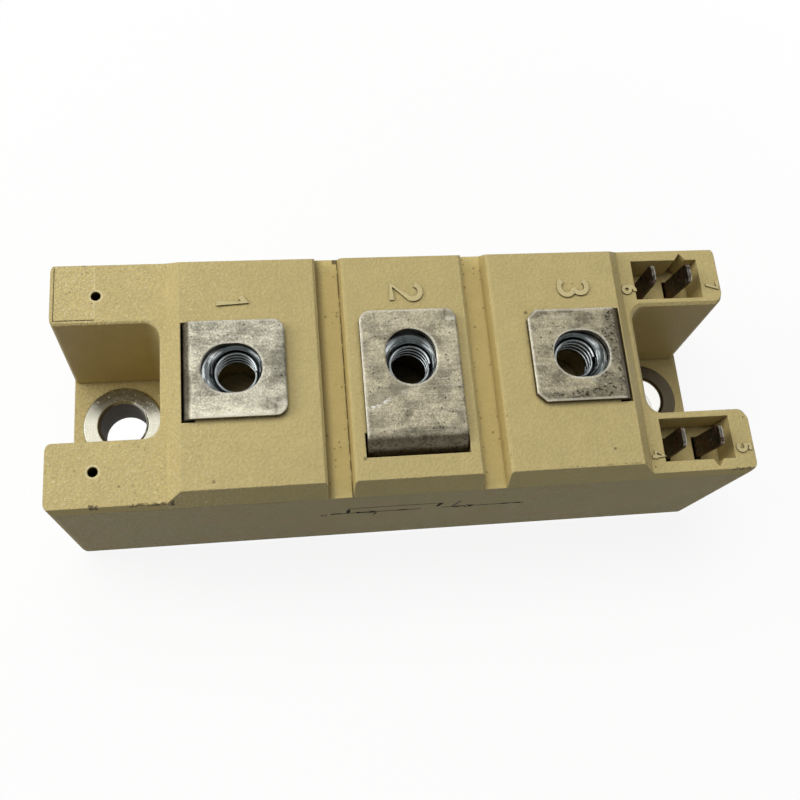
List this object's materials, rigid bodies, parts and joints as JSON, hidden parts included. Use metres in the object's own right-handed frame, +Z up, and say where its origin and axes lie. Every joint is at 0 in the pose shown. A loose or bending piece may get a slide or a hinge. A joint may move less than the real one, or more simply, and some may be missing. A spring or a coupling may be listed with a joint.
{
  "type": "half-bridge power module",
  "caption": "Power semiconductor module in a moulded case: screw terminals on raised blocks, push-on tabs in sockets, metal base plate with a mounting hole at each end.",
  "frame": {"origin": "centre of the underside of the base plate, where the module rests on its heat sink", "axes": "+Z up through the screw terminals, +X along the length towards the end with the push-on tabs, +Y across the width towards the middle terminal's free edge"},
  "size_m": [0.094, 0.034, 0.0303],
  "materials": {
    "moulded_plastic": "fine spark-eroded grain, khaki beige",
    "nickelled_base": "nickel-plated copper, satin",
    "adhesive": "cured silicone adhesive",
    "turned_steel": "bright turned steel",
    "plated_strip": "plated copper strip, worn and speckled",
    "zinc_steel": "zinc-plated steel, bluish",
    "tarnished_tab": "tarnished plated tab, dark",
    "tinned_copper": "tinned copper strip",
    "solder": "soft solder, dull",
    "bonded_copper": "bonded copper foil",
    "ceramic": "white alumina",
    "silicon": "silicon with aluminium metallising",
    "bond_wire": "aluminium wire",
    "silicone_gel": "clear soft gel"
  },
  "bodies": {
    "root": {"housing": "moulded_plastic", "base_plate": "nickelled_base", "case_adhesive": "adhesive", "bush_left": "turned_steel", "bush_right": "turned_steel", "terminal_1": "plated_strip", "terminal_2": "plated_strip", "terminal_3": "plated_strip", "nut_1": "zinc_steel", "nut_2": "zinc_steel", "nut_3": "zinc_steel", "control_tab_4": "tarnished_tab", "control_tab_5": "tarnished_tab", "control_tab_6": "tarnished_tab", "control_tab_7": "tarnished_tab", "control_lead_4": "tinned_copper", "control_lead_5": "tinned_copper", "control_lead_6": "tinned_copper", "control_lead_7": "tinned_copper", "solder_left": "solder", "solder_right": "solder", "back_copper_left": "bonded_copper", "back_copper_right": "bonded_copper", "ceramic_left": "ceramic", "ceramic_right": "ceramic", "collector_track_left": "bonded_copper", "collector_track_right": "bonded_copper", "emitter_track_left": "bonded_copper", "emitter_track_right": "bonded_copper", "gate_track_left": "bonded_copper", "gate_track_right": "bonded_copper", "sense_track_left": "bonded_copper", "sense_track_right": "bonded_copper", "igbt_chip_left": "silicon", "igbt_chip_right": "silicon", "diode_chip_left": "silicon", "diode_chip_right": "silicon", "emitter_wires_left": "bond_wire", "emitter_wires_right": "bond_wire", "diode_wires_left": "bond_wire", "diode_wires_right": "bond_wire", "gate_wire_left": "bond_wire", "gate_wire_right": "bond_wire", "sense_wire_left": "bond_wire", "sense_wire_right": "bond_wire", "link_wires": "bond_wire", "silicone_gel": "silicone_gel"}
  },
  "joints": []
}
